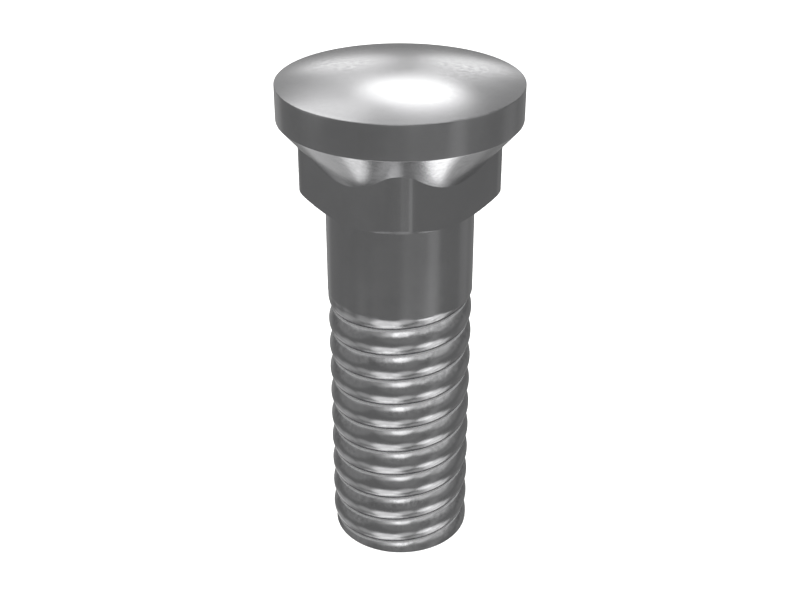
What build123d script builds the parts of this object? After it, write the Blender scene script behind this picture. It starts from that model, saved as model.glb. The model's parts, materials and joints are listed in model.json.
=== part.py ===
from build123d import *
import os
from math import ceil, radians, sqrt, tan

# Dome-head plow bolt, standing on its threaded end. Millimetres, +Z up.
# The origin is the centre of the lower end, and one corner of the square neck points at -Y.

# Shank
shank_dia = 22.225        # 7/8 in
length = 76.2             # 3 in, from the lower end to the upper edge of the head's rim

# Head
head_dia = 35.75
rim_height = 5.1          # straight side of the head
dome_rise = 1.9           # crown of the top over the rim's upper edge
seat_angle = 82.0         # included angle of the countersunk underside

# Square neck
neck_side = 23.0          # across the flats
neck_corner_radius = 3.3
neck_depth = 18.6         # from the rim's upper edge to the flats' lower edge
neck_bevel_angle = 30.5   # slope of the neck's underside, from level

# Thread: right-hand, rolled, with rounded crests
thread_length = 42.0      # at full depth, from the lower end
pitch = 4.4
crest_allowance = 0.075   # by which the thread is smaller across its crests than the shank
thread_depth = 0.7        # crest to root
root_flat = 0.2           # width of the groove's bottom
runout_length = 1.5       # over which the groove's bottom rises to the plain shank
lead_crest = 3.9          # height of the lowest crest on the -Y side

# Worked out from the sizes above
shank_radius = shank_dia / 2
head_radius = head_dia / 2
crest_radius = (shank_dia - crest_allowance) / 2
root_radius = crest_radius - thread_depth
runout_end = thread_length + runout_length
rim_bottom = length - rim_height
seat_bottom = rim_bottom - (head_radius - shank_radius) / tan(radians(seat_angle / 2))
neck_bottom = length - neck_depth
neck_reach = sqrt(2) * (neck_side / 2 - neck_corner_radius) + neck_corner_radius


def underside(radius):
    """Height of the neck's conical underside at a distance from the axis."""
    return neck_bottom + (radius - neck_side / 2) * tan(radians(neck_bevel_angle))


# Square neck: a turned blank with a conical underside, kept inside a square prism
blank_radius = neck_reach + 1

with BuildPart() as neck:
    with BuildSketch(Plane.XZ):
        Polygon(
            (0, underside(shank_radius)),
            (shank_radius, underside(shank_radius)),
            (blank_radius, underside(blank_radius)),
            (blank_radius, rim_bottom),
            (0, rim_bottom),
            align=None,
        )
    revolve(axis=Axis.Z)
    with BuildSketch(Plane.XY):
        RectangleRounded(neck_side, neck_side, neck_corner_radius, rotation=45)
    extrude(amount=length, mode=Mode.INTERSECT)

# One turn of the thread's ridge, an arc over the crest on a foot inside the core.
# The arc runs on a little below the root, so that its flanks pass clean through the core's wall.
foot_sink = root_flat / 10
foot_depth = 0.5
crest_round = ((pitch - root_flat) ** 2 / 4 + thread_depth**2) / (2 * thread_depth)
foot_half = sqrt(crest_round**2 - (crest_round - thread_depth - foot_sink) ** 2)
ridge_start = lead_crest + pitch / 4 - 2 * pitch
turns = ceil((runout_end + pitch - ridge_start) / pitch)

with BuildPart() as thread_turn:
    foot_top = root_radius - foot_sink
    foot_radius = root_radius - foot_depth
    low = ridge_start - foot_half
    high = ridge_start + foot_half
    with BuildLine(Plane.XY.offset(ridge_start)) as climb:
        Helix(pitch=pitch, height=pitch, radius=foot_radius)
    with BuildSketch(Plane.XZ):
        with BuildLine():
            ThreePointArc((foot_top, low), (crest_radius, ridge_start), (foot_top, high))
            Polyline((foot_top, low), (foot_radius, low), (foot_radius, high), (foot_top, high))
        make_face()
    sweep(path=climb.line, is_frenet=True)

# The whole bolt: head, seat, shank, runout and thread core turned in one, then neck and thread
with BuildPart() as plow_bolt:
    with BuildSketch(Plane.XZ):
        with BuildLine():
            TangentArc((0, length + dome_rise), (head_radius, length), tangent=(1, 0))
            Polyline(
                (head_radius, length),
                (head_radius, rim_bottom),
                (shank_radius, seat_bottom),
                (shank_radius, runout_end),
                (root_radius, thread_length),
                (root_radius, 0),
                (0, 0),
                (0, length + dome_rise),
            )
        make_face()
    revolve(axis=Axis.Z)
    add(neck.part)
    with Locations(*[(0, 0, turn * pitch) for turn in range(turns)]):
        add(thread_turn.part)
    split(bisect_by=Plane.XY, keep=Keep.TOP)

os.makedirs("parts", exist_ok=True)
plow_bolt.part.label = "plow_bolt"
export_step(plow_bolt.part, "parts/plow_bolt.step")
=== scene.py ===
import json
from math import cos, radians, sin, sqrt, tan

import bmesh
import bpy
import numpy as np
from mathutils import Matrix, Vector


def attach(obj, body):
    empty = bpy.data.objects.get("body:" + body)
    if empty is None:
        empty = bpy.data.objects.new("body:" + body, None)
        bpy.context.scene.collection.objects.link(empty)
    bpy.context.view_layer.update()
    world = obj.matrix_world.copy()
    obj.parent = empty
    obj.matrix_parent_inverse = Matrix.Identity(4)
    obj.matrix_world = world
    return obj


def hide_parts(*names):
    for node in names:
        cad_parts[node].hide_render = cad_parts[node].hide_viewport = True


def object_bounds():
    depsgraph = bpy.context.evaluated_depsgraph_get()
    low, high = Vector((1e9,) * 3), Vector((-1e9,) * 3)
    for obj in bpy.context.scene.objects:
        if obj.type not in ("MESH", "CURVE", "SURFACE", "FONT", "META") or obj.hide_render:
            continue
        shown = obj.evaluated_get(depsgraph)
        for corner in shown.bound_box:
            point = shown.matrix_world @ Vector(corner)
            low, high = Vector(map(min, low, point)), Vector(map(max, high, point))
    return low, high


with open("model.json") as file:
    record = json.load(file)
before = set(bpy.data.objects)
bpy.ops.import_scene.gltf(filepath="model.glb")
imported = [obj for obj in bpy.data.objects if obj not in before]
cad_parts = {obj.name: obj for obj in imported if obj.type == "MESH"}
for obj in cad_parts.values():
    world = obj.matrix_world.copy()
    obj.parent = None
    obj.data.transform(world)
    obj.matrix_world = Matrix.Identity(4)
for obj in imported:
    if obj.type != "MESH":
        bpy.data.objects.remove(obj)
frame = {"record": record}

bl_info = {
    "name": "Plow Bolt",
    "version": (1, 0, 0),
    "blender": (4, 5, 0),
    "location": "3D View > Sidebar > Plow Bolt",
    "description": "Makes the steel surface of a dome-head plow bolt and a pale studio round it",
    "category": "Add Mesh",
}

MM = 0.001

# The solid's own box and its plain shank give the sizes that the surface shares with it.
CAD_LOW, CAD_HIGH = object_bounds()
PLAIN_SHANK = next(mount for mount in frame["record"]["mounts"] if mount["name"] == "plain_shank")

# How finely the surface is divided
CROWN_ROWS = 24
CROWN_MARGIN = 4                      # from its last row to the rim, in edge roundings
STRAIGHT_ROWS = (2, 6, 9, 9, 6, 10)   # between one rounded corner of the profile and the next
ARC_STEPS = 4                         # round a corner of the profile
FLANK_ROWS = 10                       # from a crest of the thread to the root beside it
SPARE_TURNS = 2                       # of the thread's rows, past either end of the thread
END_ROWS = 6
FLAT_COLUMNS = 44                     # across a flat of the neck
CORNER_COLUMNS = 20                   # round a corner of the neck
MERGE_DISTANCE = 1e-7
SHARP_ANGLE = radians(24)             # steeper edges than this aren't smoothed over

# Scuffed places on the crown, as x and y in millimetres, how far they reach, and how scuffed the
# rest of the crown is, and the seat and the neck, where 1 is fully
SCUFFS = ((-9.5, 4), (9.5, 2))
SCUFF_REACH = 5.5
CROWN_SCUFF = 0.1
NECK_SCUFF = 0.5

# Rubbed edges, and thread roots darkened partly by grime and partly by painted shade in the creases
RUB_REACH = 0.4                       # how far from its edge the rim is rubbed, in millimetres
RUBBED_BLUR = 0.85                    # roughness there, as a share of the steel's own
GRIME_AND_SHADE_RISE = 0.15                     # how far the grime and painted shade go up a flank, as a share of its depth
GRIMY_BLUR = 2.5                      # roughness of grime, as a share of the steel's own
GRIMY_METAL = 0.3                     # how metallic grime is

# Noises in the steel: their sizes in millimetres, and what they do
NOISE_SPAN = (0.3, 0.7)               # most of a noise's values lie in it
CLOUD_SIZE = 9
CLOUD_TONE = 0.03                     # up and down from the steel's own tone
CLOUD_BLUR = 0.02                     # up and down from its own roughness
GRAIN_SIZE = 0.5
GRAIN_BLUR = 0.02
MOTTLE_SIZE = 0.8
PATCH_SIZE = 6
PATCH_SPAN = (0.4, 0.6)               # noise from the gaps between scuffed patches to the patches
GAP_SCUFF = 0.25                      # scuffing in those gaps
SLOPE_SPAN = (0.1, 0.4)               # slope from upright walls to sloping faces
WALL_SCUFF = 0.1                      # scuffing of upright walls


def length(name, description, default):
    """A length in metres, from a default in millimetres."""
    return bpy.props.FloatProperty(
        name=name, description=description, default=default * MM, unit="LENGTH", precision=5,
    )


def angle(name, description, default):
    """An angle, from a default in degrees."""
    return bpy.props.FloatProperty(
        name=name, description=description, default=radians(default), subtype="ANGLE",
    )


def share(name, description, default):
    """A number from 0 to 1."""
    return bpy.props.FloatProperty(
        name=name, description=description, default=default, min=0, max=1, subtype="FACTOR",
    )


def colour(name, description, default):
    """A plain colour."""
    return bpy.props.FloatVectorProperty(
        name=name, description=description, default=default,
        size=3, min=0, max=1, subtype="COLOR",
    )


class BoltSizes(bpy.types.PropertyGroup):
    """Sizes of the bolt, which stands on its threaded end with a corner of its neck at -Y."""

    head_radius: length("Head radius", "Radius of the head's rim", CAD_HIGH.x / MM)
    height: length("Height", "From the lower end to the crown of the head", CAD_HIGH.z / MM)
    dome_rise: length("Dome rise", "Crown of the head over the rim's upper edge", 1.9)
    rim_height: length("Rim height", "Straight side of the head", 5.1)
    seat_angle: angle("Seat angle", "Included angle of the countersunk underside", 82)
    neck_side: length("Neck side", "Square neck across its flats", 23)
    neck_corner: length("Neck corner", "Radius of the square neck's corners", 3.3)
    neck_depth: length("Neck depth", "From the rim's upper edge to the flats' lower edge", 18.6)
    neck_bevel: angle("Neck bevel", "Slope of the neck's underside, from level", 30.5)
    shank_radius: length("Shank radius", "Radius of the plain shank", PLAIN_SHANK["dims"]["r_mm"])
    thread_length: length("Thread length", "Thread at full depth, from the lower end", 42)
    runout: length("Runout", "Over which the groove's bottom rises to the plain shank", 1.5)
    pitch: length("Pitch", "Rise of the thread in one turn", 4.4)
    crest_allowance: length("Crest allowance", "Crests below the shank, on the diameter", 0.075)
    thread_depth: length("Thread depth", "From crest to root", 0.7)
    root_flat: length("Root flat", "Width of the groove's bottom", 0.2)
    lead_crest: length("Lead crest", "Height of the lowest crest on the -Y side", 3.9)
    edge_round: length("Edge rounding", "Radius on the rim's edges and the lower end's", 0.06)
    blend: length("Runout blend", "Over which the thread's ridge melts into the runout", 0.12)


class SteelLook(bpy.types.PropertyGroup):
    """Finish of the bare steel."""

    tint: colour("Colour", "Colour of the bare steel", (0.36, 0.36, 0.365))
    roughness: share("Roughness", "Blur of its reflections", 0.19)
    grain: length("Grain", "Depth of the fine grain", 0.008)
    scuff: share("Scuffing", "How uneven in tone the scuffed faces are", 0.2)
    rub: share("Rubbed edges", "How much brighter the rim's rubbed edges are", 0.08)
    # Painted shade: how much darker the thread's roots are, partly as grime and partly as the shade
    # that falls in the creases
    root_grime_and_shade: share("Grime", "How much darker the thread's roots are", 0.2)


class StudioLook(bpy.types.PropertyGroup):
    """The floor, the soft light and the camera."""

    floor: colour("Floor", "Colour of the plain floor", (0.9, 0.9, 0.9))
    light: bpy.props.FloatProperty(
        name="Light", description="Strength of all the light together", default=0.8, min=0,
    )
    lens: bpy.props.FloatProperty(
        name="Lens", description="Focal length of the camera, in millimetres",
        default=55.98, min=1,
    )
    camera_back: length("Camera distance", "From the bolt's axis, on the level", 169.46)
    camera_height: length("Camera height", "Over the floor", 132.87)
    camera_pitch: angle("Camera pitch", "Down from level", 28.503)


def rounded_square(turn, half_side, corner):
    """Distance from the axis to a rounded square whose corners lie on the axes.

    Along a flat it is the half side over the cosine of the angle from the flat's middle. Round a
    corner it is the far crossing of a ray with the corner's circle, whose centre lies on the
    diagonal.
    """
    off = np.abs((turn + np.pi / 4) % (np.pi / 2) - np.pi / 4)
    centre = sqrt(2) * (half_side - corner)
    flat = half_side / np.cos(np.pi / 4 - off)
    arc = centre * np.cos(off) + np.sqrt(np.maximum(corner**2 - (centre * np.sin(off)) ** 2, 0))
    return np.where(off < corner_reach(half_side, corner), arc, flat)


def corner_reach(half_side, corner):
    """Angle at the axis from the middle of a rounded square's corner to the end of its arc."""
    return np.pi / 4 - np.arctan2(half_side - corner, half_side)


def turns(s):
    """Angles of the grid's columns, even round each corner of the neck and along each flat."""
    reach = corner_reach(s.neck_side / 2, s.neck_corner)
    corner = np.linspace(-reach, reach, CORNER_COLUMNS + 1)[:-1]
    flat = np.linspace(reach, np.pi / 2 - reach, FLAT_COLUMNS + 1)[:-1]
    quarter = np.concatenate([corner, flat])
    first = -reach - np.pi / 2
    whole = (quarter + np.arange(-1, 3)[:, None] * np.pi / 2).ravel()
    return np.append(whole, first + 2 * np.pi)


def between(start, end, steps):
    """Rows from one row to another, both left out, crowded towards the ends by half a cosine."""
    share_along = (1 - np.cos(np.pi * np.arange(1, steps) / steps)) / 2
    return start + (end - start) * share_along[:, None, None]


def unit(vector):
    """A vector of length one along each of the given ones."""
    return vector / np.linalg.norm(vector, axis=-1, keepdims=True)


def rounded_profile(corners, radii):
    """Rows of a profile with rounded corners, for all columns at once.

    corners holds a (radius, height) for each corner and column. A corner's arc starts and ends
    where its circle touches the two sides, a tangent of half the bend away, and its centre lies on
    the line that halves the corner. The arc's points turn evenly from the first radius to the last.
    """
    rows, last = [corners[:1]], corners[0]
    turning = np.linspace(0, 1, ARC_STEPS + 1)[:, None, None]
    for k in range(1, len(corners) - 1):
        coming, going = unit(corners[k] - corners[k - 1]), unit(corners[k + 1] - corners[k])
        bend = np.arccos(np.clip((coming * going).sum(-1, keepdims=True), -1, 1))
        reach = radii[k] * np.tan(bend / 2)
        start, end = corners[k] - coming * reach, corners[k] + going * reach
        centre = corners[k] + unit(going - coming) * radii[k] / np.cos(bend / 2)
        arc = centre + (np.sin((1 - turning) * bend) * (start - centre)
                        + np.sin(turning * bend) * (end - centre)) / np.sin(bend)
        rows += [between(last, start, STRAIGHT_ROWS[k - 1]), arc]
        last = end
    rows += [between(last, corners[-1], STRAIGHT_ROWS[-1]), corners[-1:]]
    return np.concatenate(rows)


def head_to_shank(s, turn):
    """Rows from the crown of the head down to the thread, and the corners of their profile.

    The crown is a cap of a sphere. Under it come the rim, the countersunk seat, the square neck's
    wall, its conical underside and the shank. At each column the seat and the underside meet the
    wall at the height that the wall's distance from the axis gives on their cones.
    """
    level = np.ones_like(turn)
    rim_top = s.height - s.dome_rise
    rim_bottom = rim_top - s.rim_height
    ball = (s.head_radius**2 + s.dome_rise**2) / (2 * s.dome_rise)
    crown_reach = s.head_radius - CROWN_MARGIN * s.edge_round
    across = np.linspace(0, crown_reach, CROWN_ROWS)[:, None] * level
    crown = np.stack([across, s.height - ball + np.sqrt(ball**2 - across**2)], -1)

    wall = rounded_square(turn, s.neck_side / 2, s.neck_corner)
    seat = rim_bottom - (s.head_radius - wall) / tan(s.seat_angle / 2)
    neck_bottom = rim_top - s.neck_depth
    bevel = tan(s.neck_bevel)
    foot = neck_bottom + (s.shank_radius - s.neck_side / 2) * bevel * level
    corners = np.stack([
        crown[-1],
        np.stack([s.head_radius * level, rim_top * level], -1),
        np.stack([s.head_radius * level, rim_bottom * level], -1),
        np.stack([wall, seat], -1),
        np.stack([wall, neck_bottom + (wall - s.neck_side / 2) * bevel], -1),
        np.stack([s.shank_radius * level, foot], -1),
        np.stack([s.shank_radius * level, (s.thread_length + s.runout) * level], -1),
    ])
    radii = (0, s.edge_round, s.edge_round, 0, 0, 0, 0)
    return np.concatenate([crown[:-1], rounded_profile(corners, radii)]), corners[1:-1]


def thread_radius(s, height, climb):
    """Distance from the axis to the threaded surface.

    climb is the height over the nearest crest. The crest is an arc from one root to the next, the
    core fills the groove's bottom and widens as a cone over the runout, and the plain shank limits
    both. In the runout the larger of ridge and core is taken softly, as half of their sum and of
    the root of their difference squared plus the blend squared.
    """
    crest = s.shank_radius - s.crest_allowance / 2
    root = crest - s.thread_depth
    ball = ((s.pitch - s.root_flat) ** 2 / 4 + s.thread_depth**2) / (2 * s.thread_depth)
    ridge = crest - ball + np.sqrt(np.maximum(ball**2 - climb**2, 0))
    along_runout = np.clip((height - s.thread_length) / s.runout, 0, 1)
    core = root + (s.shank_radius - root) * along_runout
    melt = s.blend * along_runout
    larger = (ridge + core + np.sqrt((ridge - core) ** 2 + melt**2)) / 2
    return np.minimum(larger, s.shank_radius)


def thread_rows(s, turn):
    """Rows of the thread, which climb with it, so that its crests and roots are rows too.

    A row keeps its distance from its crest, closer rows near the root, and rises by one pitch in a
    turn. What would lie above the runout or below the end's edge is brought back to it.
    """
    half = (s.pitch - s.root_flat) / 2
    flank = half * np.sin(np.linspace(-np.pi / 2, np.pi / 2, 2 * FLANK_ROWS + 1))
    low, high = s.edge_round, s.thread_length + s.runout
    crest = s.lead_crest + s.pitch * (turn + np.pi / 2) / (2 * np.pi)
    crests = np.arange(-SPARE_TURNS, int(np.ceil(high / s.pitch)) + SPARE_TURNS + 1)
    steps = (crests[:, None] * s.pitch + flank).ravel()[::-1, None]
    height = np.clip(steps + crest, low, high)
    climb = (height - crest + s.pitch / 2) % s.pitch - s.pitch / 2
    return np.stack([thread_radius(s, height, climb), height], -1)


def end_rows(s, rim):
    """Rows of the flat lower end, from a little inside the thread's last row to the axis."""
    across = (rim[:, 0] - s.edge_round) * np.linspace(1, 0, END_ROWS)[:, None]
    return np.stack([across, np.zeros_like(across)], -1)


def nearness(points, places, reach):
    """How near each point lies to one of the places: 1 on it, and a bell curve over the reach."""
    gap = np.min([np.linalg.norm(points - place, axis=-1) for place in places], axis=0)
    return np.exp(-((gap / reach) ** 2))


def scuffing(s, rows, turn):
    """How scuffed each point is.

    The crown is scuffed by a bell curve round each of its SCUFFS and hardly elsewhere, the seat
    and the neck in part, and the rest fully.
    """
    crown = rows[:CROWN_ROWS, :, :1] * np.stack([np.cos(turn), np.sin(turn)], -1)
    near = nearness(crown, np.multiply(SCUFFS, MM), SCUFF_REACH * MM)
    below_rim = s.height - s.dome_rise - rows[..., 1]
    in_neck = (below_rim >= s.rim_height) & (below_rim < s.neck_depth)
    scuffed = np.where(in_neck, NECK_SCUFF, 1)
    scuffed[:CROWN_ROWS] = CROWN_SCUFF + (1 - CROWN_SCUFF) * near
    return scuffed


def grime_and_shade_at_roots(s, rows, in_thread):
    """How grimy and shaded each point is: fully at the thread's root, and less with its height over
    it. The darkening it gives is partly grime and partly painted shade in the creases.
    """
    root = s.shank_radius - s.crest_allowance / 2 - s.thread_depth
    risen = (rows[..., 0] - root) / (GRIME_AND_SHADE_RISE * s.thread_depth)
    return np.where(in_thread, np.clip(1 - risen, 0, 1), 0)


def closed_surface(name, rows, turn, marks):
    """A closed surface from rows of (radius, height), with each mark's values on its points.

    A point lies at its radius along (cosine, sine) of its column's angle. Points that fall
    together, at the axis, at the seam and where rows were brought back, are merged.
    """
    radius, height = rows[..., 0], rows[..., 1]
    points = np.stack([radius * np.cos(turn), radius * np.sin(turn), height], -1)
    index = np.arange(radius.size).reshape(radius.shape)
    quads = np.stack([index[:-1, :-1], index[1:, :-1], index[1:, 1:], index[:-1, 1:]], -1)
    mesh = bpy.data.meshes.new(name)
    mesh.from_pydata(points.reshape(-1, 3), [], quads.reshape(-1, 4))
    for mark, values in marks.items():
        mesh.attributes.new(mark, "FLOAT", "POINT").data.foreach_set("value", values.ravel())
    shell = bmesh.new()
    shell.from_mesh(mesh)
    bmesh.ops.remove_doubles(shell, verts=shell.verts, dist=MERGE_DISTANCE)
    if not all(edge.is_manifold and edge.is_contiguous for edge in shell.edges):
        raise RuntimeError(f"{name} isn't closed")
    shell.to_mesh(mesh)
    shell.free()
    mesh.polygons.foreach_set("use_smooth", np.ones(len(mesh.polygons), bool))
    mesh.set_sharp_from_angle(angle=SHARP_ANGLE)
    return mesh


class Nodes:
    """Short calls that make and join the nodes of a material or a world."""

    def __init__(self, tree):
        self.tree = tree
        tree.nodes.clear()

    def add(self, kind, inputs, **settings):
        """A new node of that kind. Its inputs go by name or number, and are values or sockets."""
        node = self.tree.nodes.new(kind)
        for key, value in settings.items():
            setattr(node, key, value)
        for key, value in inputs.items():
            if isinstance(value, bpy.types.NodeSocket):
                self.tree.links.new(value, node.inputs[key])
            else:
                node.inputs[key].default_value = value
        return node

    def maths(self, operation, *values):
        """A sum, product or other operation on numbers."""
        return self.add("ShaderNodeMath", dict(enumerate(values)), operation=operation).outputs[0]

    def ranged(self, value, low, high, to_low, to_high, kind="LINEAR"):
        """The value carried from one range to another, and held at its ends."""
        return self.add("ShaderNodeMapRange", {
            "Value": value, "From Min": low, "From Max": high, "To Min": to_low, "To Max": to_high,
        }, interpolation_type=kind).outputs[0]

    def marked(self, mark, bare, full):
        """A number that goes from bare, where the surface has none of the mark, to full."""
        return self.ranged(mark, 0, 1, bare, full)

    def noise(self, place, size, detail, roughness):
        """Noise from 0 to 1, with features about that many millimetres large."""
        return self.add("ShaderNodeTexNoise", {
            "Vector": place, "Scale": 1 / (size * MM), "Detail": detail, "Roughness": roughness,
        }).outputs[0]

    def toned(self, colour, tone):
        """The colour, lightened or darkened by the tone."""
        return self.add("ShaderNodeVectorMath", {0: colour, "Scale": tone},
                        operation="SCALE").outputs[0]


def bare_steel(look):
    """Bare forged and rolled steel.

    It has faint clouds in tone and sheen, a grain and a mottle where it is scuffed, edges rubbed a
    little brighter and smoother, and dull, less metallic grime at the thread's roots, whose
    darkening is partly painted shade in the creases. The scuffs lie in patches where the surface is
    marked for them and slopes, and nearly spare the upright walls.
    """
    material = bpy.data.materials.new("bare_steel")
    material.use_nodes = True
    n = Nodes(material.node_tree)
    where = n.add("ShaderNodeTexCoord", {})
    place = where.outputs["Object"]
    rubbed = n.add("ShaderNodeAttribute", {}, attribute_name="rubbed").outputs["Fac"]
    grime_and_shade = n.add("ShaderNodeAttribute", {}, attribute_name="grime_and_shade").outputs["Fac"]
    scuffed = n.add("ShaderNodeAttribute", {}, attribute_name="scuffed").outputs["Fac"]
    clouds = n.noise(place, CLOUD_SIZE, detail=4, roughness=0.55)
    grain = n.noise(place, GRAIN_SIZE, detail=3, roughness=0.6)
    mottle = n.noise(place, MOTTLE_SIZE, detail=3, roughness=0.6)
    upward = n.add("ShaderNodeSeparateXYZ", {0: where.outputs["Normal"]}).outputs[2]
    slope = n.maths("ABSOLUTE", upward)
    patches = n.ranged(n.noise(place, PATCH_SIZE, detail=2, roughness=0.5),
                       *PATCH_SPAN, GAP_SCUFF, 1, "SMOOTHSTEP")
    sloping = n.ranged(slope, *SLOPE_SPAN, WALL_SCUFF, 1, "SMOOTHSTEP")
    scuffed = n.maths("MULTIPLY", n.maths("MULTIPLY", patches, sloping), scuffed)

    tone = n.ranged(clouds, *NOISE_SPAN, 1 - CLOUD_TONE, 1 + CLOUD_TONE)
    uneven = n.ranged(mottle, *NOISE_SPAN, -look.scuff, look.scuff)
    tone = n.maths("MULTIPLY", tone, n.maths("MULTIPLY_ADD", uneven, scuffed, 1))
    tone = n.maths("MULTIPLY", tone, n.marked(rubbed, 1, 1 + look.rub))
    # Painted shade: the thread's roots are darkened, partly as grime and partly as the shade in the
    # creases
    tone = n.maths("MULTIPLY", tone, n.marked(grime_and_shade, 1, 1 - look.root_grime_and_shade))

    rough = n.ranged(clouds, *NOISE_SPAN, look.roughness - CLOUD_BLUR, look.roughness + CLOUD_BLUR)
    rough = n.maths("ADD", rough, n.ranged(grain, *NOISE_SPAN, -GRAIN_BLUR, GRAIN_BLUR))
    rough = n.maths("MULTIPLY", rough, n.marked(rubbed, 1, RUBBED_BLUR))
    rough = n.maths("MULTIPLY", rough, n.marked(grime_and_shade, 1, GRIMY_BLUR))

    bump = n.add("ShaderNodeBump", {
        "Strength": scuffed, "Distance": look.grain, "Height": grain,
    }).outputs[0]
    surface = n.add("ShaderNodeBsdfPrincipled", {
        "Base Color": n.toned(look.tint, tone), "Metallic": n.marked(grime_and_shade, 1, GRIMY_METAL),
        "Roughness": rough, "Normal": bump,
    }).outputs[0]
    n.add("ShaderNodeOutputMaterial", {"Surface": surface})
    return material


class PLOWBOLT_OT_make_bolt(bpy.types.Operator):
    """Make the bolt's steel surface, in place of the plain solid"""

    bl_idname = "plow_bolt.make_bolt"
    bl_label = "Make the bolt"

    def execute(self, context):
        s = context.scene.plow_bolt_sizes
        turn = turns(s)
        upper, corners = head_to_shank(s, turn)
        rim_edges = corners[:2]
        thread = thread_rows(s, turn)
        rows = np.concatenate([upper, thread, end_rows(s, thread[-1])])
        in_thread = np.zeros((len(rows), 1), bool)
        in_thread[len(upper):len(upper) + len(thread)] = True
        marks = {
            "rubbed": nearness(rows, rim_edges, RUB_REACH * MM),
            # darkened thread roots: partly grime, partly painted shade
            "grime_and_shade": grime_and_shade_at_roots(s, rows, in_thread),
            "scuffed": scuffing(s, rows, turn),
        }
        bolt = bpy.data.objects.new("bolt_body", closed_surface("bolt_body", rows, turn, marks))
        bolt.data.materials.append(bare_steel(context.scene.plow_bolt_steel))
        context.scene.collection.objects.link(bolt)
        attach(bolt, "root")
        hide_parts("plow_bolt")
        return {"FINISHED"}


# The studio's floor and camera
FLOOR_HALF = 2.5                      # metres from its middle to its edges
FLOOR_CLOUD_SIZE = 60                 # millimetres
FLOOR_CLOUD_TONE = 0.01               # how much its clouds darken it
FLOOR_LIGHT = 3.75                    # its own lamp's strength, to that of all the light
FLOOR_LIGHT_SPREAD = radians(30)
SENSOR_WIDTH = 36                     # millimetres
CLIP_NEAR, CLIP_FAR = 0.01, 10

# The light: an even haze, and soft round lamps a long way off, each given by its azimuth from +Y
# towards +X, its elevation, its radius and its softness, in degrees, and its strength
HAZE = 0.34
BACKDROP = 1.0
LAMPS = (
    # Behind, mirrored in the crown of the head
    (1.5, 30, 4, 4, 2.8),
    (4, 34, 3, 4, 1.2),
    (0, 22, 3, 5, 0.15),
    (-6, 38, 9, 9, 0.5),
    (-15, 38, 4, 6, 1.3),
    (4, 44, 4, 4, 0.3),
    (-5.2, 13, 2, 4.5, 1.45),
    (-6, 20, 1.5, 3.5, 0.45),
    (6.7, 12, 2.5, 4, 1.5),
    (6.5, 19, 2, 3.5, 0.5),
    (-8, 25, 3, 4, 0.25),
    (8, 23, 2, 4, 0.22),
    (-3, 24, 12, 14, 0.36),
    # In front and above, on the thread's upper flanks
    (180, 29, 10, 8, 2.4),
    (-165, 29, 9, 9, 0.7),
    (146, 28, 9, 9, 1.1),
    (115, 22, 13, 12, 0.6),
    (-148, 30, 12, 9, 0.42),
    # To the sides and overhead
    (-90, 45, 15, 20, 0.8),
    (90, 45, 15, 20, 0.6),
    (0, 90, 20, 20, 1.0),
    # Broad and level, on the crests and the upright walls
    (180, 15, 28, 12, 0.13),
    (-95, 15, 28, 12, 0.18),
    (110, 15, 28, 12, 0.15),
    # Below, on the seat
    (-34, -64.5, 3, 3, 2.1),
    (32, -67.5, 4.5, 4, 3.2),
    (-28, -49, 7, 8, 0.6),
    (28, -55, 4, 10, 0.3),
    # Below, on the thread's lower flanks
    (-153, -56, 12, 9, 1.75),
    (-146, -79, 8, 8, 1.4),
    (-90, -73, 4, 8, 0.8),
    (172, -47, 10, 5, 0.9),
    (-140, -41, 5, 4.5, 0.5),
    (-115, -43, 6, 8, 0.5),
    (-81, -43, 8, 5, 0.35),
    (-57, -42, 7, 6, 0.35),
    (-82, -55, 14, 8, 0.12),
    (134, -44.5, 8, 4.5, 1.9),
    (114, -48, 7, 8, 1.6),
    (88, -56, 8, 8, 1.15),
    (63, -63, 5, 7, 1.0),
    (117, -68, 6, 8, 0.5),
    # Low, as soft streaks down the upright walls
    (128, -12, 3, 6, 0.1),
    (127, -25, 4, 8, 0.22),
    (157, -25, 12, 8, 0.08),
    (-28, -16, 8, 10, 0.15),
    (62, -25, 5, 9, 0.09),
)


def pale_floor(look):
    """A plain matt floor with very faint clouds."""
    material = bpy.data.materials.new("pale_floor")
    material.use_nodes = True
    n = Nodes(material.node_tree)
    place = n.add("ShaderNodeTexCoord", {}).outputs["Object"]
    clouds = n.noise(place, FLOOR_CLOUD_SIZE, detail=2, roughness=0.5)
    tone = n.ranged(clouds, *NOISE_SPAN, 1 - FLOOR_CLOUD_TONE, 1)
    surface = n.add("ShaderNodeBsdfPrincipled", {
        "Base Color": n.toned(look.floor, tone), "Roughness": 0.9, "Specular IOR Level": 0.1,
    }).outputs[0]
    n.add("ShaderNodeOutputMaterial", {"Surface": surface})
    return material


def soft_light(look):
    """Light from all round, and a plain white backdrop to the camera.

    The light is the haze plus each lamp, which is full within its radius of its own direction and
    fades to nothing over its softness.
    """
    world = bpy.data.worlds.new("soft_light")
    world.use_nodes = True
    n = Nodes(world.node_tree)
    direction = n.add("ShaderNodeTexCoord", {}).outputs["Generated"]
    total = HAZE
    for azimuth, elevation, radius, softness, strength in LAMPS:
        around, up = radians(azimuth), radians(elevation)
        lamp = (sin(around) * cos(up), cos(around) * cos(up), sin(up))
        facing = n.add("ShaderNodeVectorMath", {0: direction, 1: lamp}, operation="DOT_PRODUCT")
        edge, full = cos(radians(radius + softness)), cos(radians(radius))
        glow = n.ranged(facing.outputs["Value"], edge, full, 0, strength, "SMOOTHSTEP")
        total = n.maths("ADD", total, glow)
    total = n.maths("MULTIPLY", total, look.light)
    seen = n.add("ShaderNodeLightPath", {}).outputs["Is Camera Ray"]
    total = n.maths("MULTIPLY_ADD", n.maths("SUBTRACT", BACKDROP, total), seen, total)
    light = n.add("ShaderNodeBackground", {"Color": (1, 1, 1, 1), "Strength": total}).outputs[0]
    n.add("ShaderNodeOutputWorld", {"Surface": light})
    return world


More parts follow.
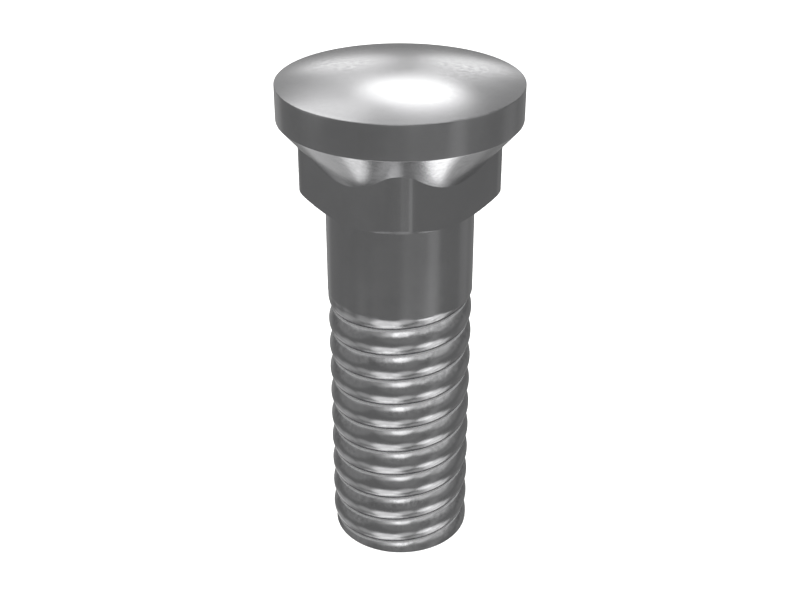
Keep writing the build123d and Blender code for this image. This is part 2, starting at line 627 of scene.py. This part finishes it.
class PLOWBOLT_OT_make_studio(bpy.types.Operator):
    """Make the pale floor, the soft light and the camera"""

    bl_idname = "plow_bolt.make_studio"
    bl_label = "Make the studio"

    def execute(self, context):
        scene = context.scene
        look = scene.plow_bolt_studio
        sheet = bpy.data.meshes.new("floor")
        sheet.from_pydata(
            [(x * FLOOR_HALF, y * FLOOR_HALF, 0) for x, y in ((-1, -1), (1, -1), (1, 1), (-1, 1))],
            [], [(0, 1, 2, 3)],
        )
        sheet.materials.append(pale_floor(look))
        floor = bpy.data.objects.new("floor", sheet)
        floor.visible_glossy = False
        floor.visible_shadow = False
        scene.collection.objects.link(floor)

        # The floor's own lamp casts no shadow and isn't mirrored, so it keeps the floor even.
        glow = bpy.data.lights.new("floor_light", "SUN")
        glow.energy = FLOOR_LIGHT * look.light
        glow.angle = FLOOR_LIGHT_SPREAD
        glow.use_shadow = False
        lamp = bpy.data.objects.new("floor_light", glow)
        lamp.visible_glossy = False
        scene.collection.objects.link(lamp)
        scene.world = soft_light(look)

        lens = bpy.data.cameras.new("camera")
        lens.sensor_fit, lens.sensor_width, lens.lens = "HORIZONTAL", SENSOR_WIDTH, look.lens
        lens.clip_start, lens.clip_end = CLIP_NEAR, CLIP_FAR
        camera = bpy.data.objects.new("camera", lens)
        camera.location = (0, -look.camera_back, look.camera_height)
        camera.rotation_euler = (radians(90) - look.camera_pitch, 0, 0)
        scene.collection.objects.link(camera)
        scene.camera = camera
        scene.view_settings.view_transform = "Standard"
        return {"FINISHED"}


class PLOWBOLT_PT_panel(bpy.types.Panel):
    """Sizes, looks and the buttons that make the bolt and its studio"""

    bl_idname = "PLOWBOLT_PT_panel"
    bl_label = "Plow Bolt"
    bl_space_type = "VIEW_3D"
    bl_region_type = "UI"
    bl_category = "Plow Bolt"

    def draw(self, context):
        for group, operator in (
            (context.scene.plow_bolt_sizes, None),
            (context.scene.plow_bolt_steel, PLOWBOLT_OT_make_bolt),
            (context.scene.plow_bolt_studio, PLOWBOLT_OT_make_studio),
        ):
            box = self.layout.box()
            for name in group.bl_rna.properties.keys():
                if name not in {"rna_type", "name"}:
                    box.prop(group, name)
            if operator:
                box.operator(operator.bl_idname)


GROUPS = {
    "plow_bolt_sizes": BoltSizes,
    "plow_bolt_steel": SteelLook,
    "plow_bolt_studio": StudioLook,
}
CLASSES = (*GROUPS.values(), PLOWBOLT_OT_make_bolt, PLOWBOLT_OT_make_studio, PLOWBOLT_PT_panel)


def register():
    """Adds the classes to Blender, and their settings to its scenes."""
    for made in CLASSES:
        bpy.utils.register_class(made)
    for name, group in GROUPS.items():
        setattr(bpy.types.Scene, name, bpy.props.PointerProperty(type=group))


def unregister():
    """Takes the settings and the classes away again."""
    for name in GROUPS:
        delattr(bpy.types.Scene, name)
    for made in reversed(CLASSES):
        bpy.utils.unregister_class(made)


def main():
    """Makes the studio and the bolt."""
    register()
    bpy.ops.plow_bolt.make_studio()
    bpy.ops.plow_bolt.make_bolt()


if __name__ == "__main__":
    main()
